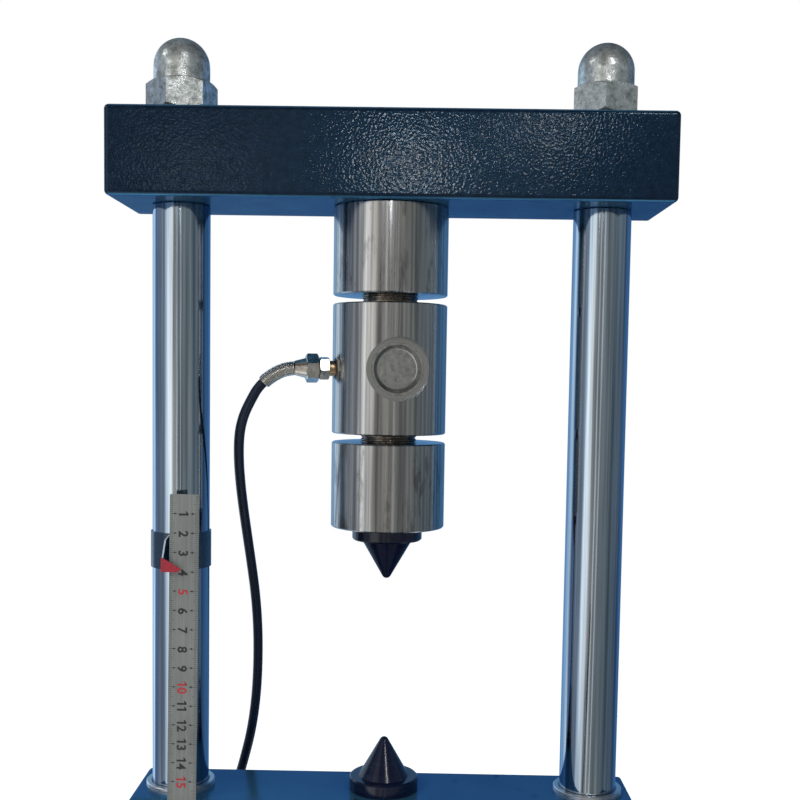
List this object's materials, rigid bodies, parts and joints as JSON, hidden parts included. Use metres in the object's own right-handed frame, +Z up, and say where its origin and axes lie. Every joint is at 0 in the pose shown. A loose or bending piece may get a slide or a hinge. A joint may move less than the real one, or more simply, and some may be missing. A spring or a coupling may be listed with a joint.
{
  "type": "point load tester",
  "caption": "Two-column hand-pumped press that splits a rock piece between two conical points under a load cell, with a scale and pointer for the gap.",
  "frame": {"origin": "on the surface that the feet stand on, under the load line through both points", "axes": "+Z up along the columns and the load line; the two columns stand along X; the operator and the pump lever are on the -Y side"},
  "size_m": [0.3, 0.6099, 0.675],
  "materials": {
    "navy_paint": "gloss hammered enamel",
    "ground_steel": "ground and polished",
    "turned_steel": "turned and polished",
    "zinc_plate": "zinc plated, mottled",
    "black_oxide": "glossy black oxide",
    "gauge_foil": "amber foil",
    "brass": "bright",
    "nickel_plate": "nickel plated",
    "rubber_black": "matt",
    "cable_black": "satin jacket",
    "seal_red": "moulded polyurethane",
    "scale_steel": "satin rule steel",
    "knob_black": "moulded",
    "blue_sheet": "satin paint",
    "pointer_red": "gloss red"
  },
  "bodies": {
    "frame": {"rubber_feet": "rubber_black", "foot_screws": "black_oxide", "base_plate": "navy_paint", "lower_column_nuts": "zinc_plate", "column_washers": "zinc_plate", "left_column": "ground_steel", "right_column": "ground_steel", "top_crossbeam": "navy_paint", "cap_nuts": "zinc_plate", "hanger_bolt": "black_oxide", "upper_adapter": "turned_steel", "link_studs": "black_oxide", "load_cell_body": "turned_steel", "gauge_covers": "turned_steel", "strain_gauges": "gauge_foil", "point_holder": "turned_steel", "upper_point": "black_oxide", "gland_nipple": "brass", "gland_lock_nut": "nickel_plate", "gland_cap": "nickel_plate", "gland_seal": "rubber_black", "spring_guard": "nickel_plate", "cell_cable": "cable_black", "cable_coil": "cable_black", "cable_tail": "cable_black", "connector_boot": "rubber_black", "connector_shell": "nickel_plate", "jack_base": "navy_paint", "jack_base_screws": "black_oxide", "reservoir_tube": "navy_paint", "tank_gaskets": "rubber_black", "pressure_cylinder": "ground_steel", "head_nut": "navy_paint", "ram_wiper": "seal_red", "filler_plug": "rubber_black", "pump_barrel": "zinc_plate", "fulcrum_pin": "black_oxide", "pin_clips": "black_oxide"},
    "crosshead": {"lower_crosshead": "navy_paint", "guide_bushes": "ground_steel", "bush_circlips": "black_oxide", "lower_point": "black_oxide", "scale_ruler": "scale_steel", "ruler_screws": "nickel_plate", "jack_ram": "ground_steel", "jack_saddle": "black_oxide", "ram_piston": "ground_steel", "piston_seal": "seal_red"},
    "plunger": {"pump_plunger": "ground_steel", "plunger_pin": "ground_steel", "plunger_seal": "seal_red"},
    "lever": {"handle_socket": "black_oxide", "handle_tube": "zinc_plate", "handle_grip": "rubber_black", "socket_screw": "zinc_plate"},
    "release_valve": {"release_spindle": "ground_steel", "release_knob": "knob_black"},
    "pointer": {"pointer_band": "blue_sheet", "pointer_arrow": "pointer_red", "pointer_screw": "nickel_plate"}
  },
  "joints": [
    {"name": "crosshead_slide", "type": "slide", "parent": "frame", "child": "crosshead", "axis": [0, 0, 1], "range_m": [0, 0.085]},
    {"name": "pump_lever", "type": "hinge", "parent": "frame", "child": "lever", "pos_m": [0, -0.056, 0.126], "axis": [-1, 0, 0], "range_deg": [-20, 20]},
    {"name": "plunger_slide", "type": "slide", "parent": "frame", "child": "plunger", "axis": [0, 0, 1], "range_m": [-0.0088, 0.0088]},
    {"name": "release_turn", "type": "hinge", "parent": "frame", "child": "release_valve", "pos_m": [0.03, -0.1, 0.062], "axis": [0, -1, 0], "range_deg": [0, 180]},
    {"name": "pointer_slide", "type": "slide", "parent": "frame", "child": "pointer", "axis": [0, 0, 1], "range_m": [-0.025, 0.12]}
  ],
  "couplings": [
    {"joint": "plunger_slide", "follows": "pump_lever", "m_per_rad": 0.0244}
  ]
}
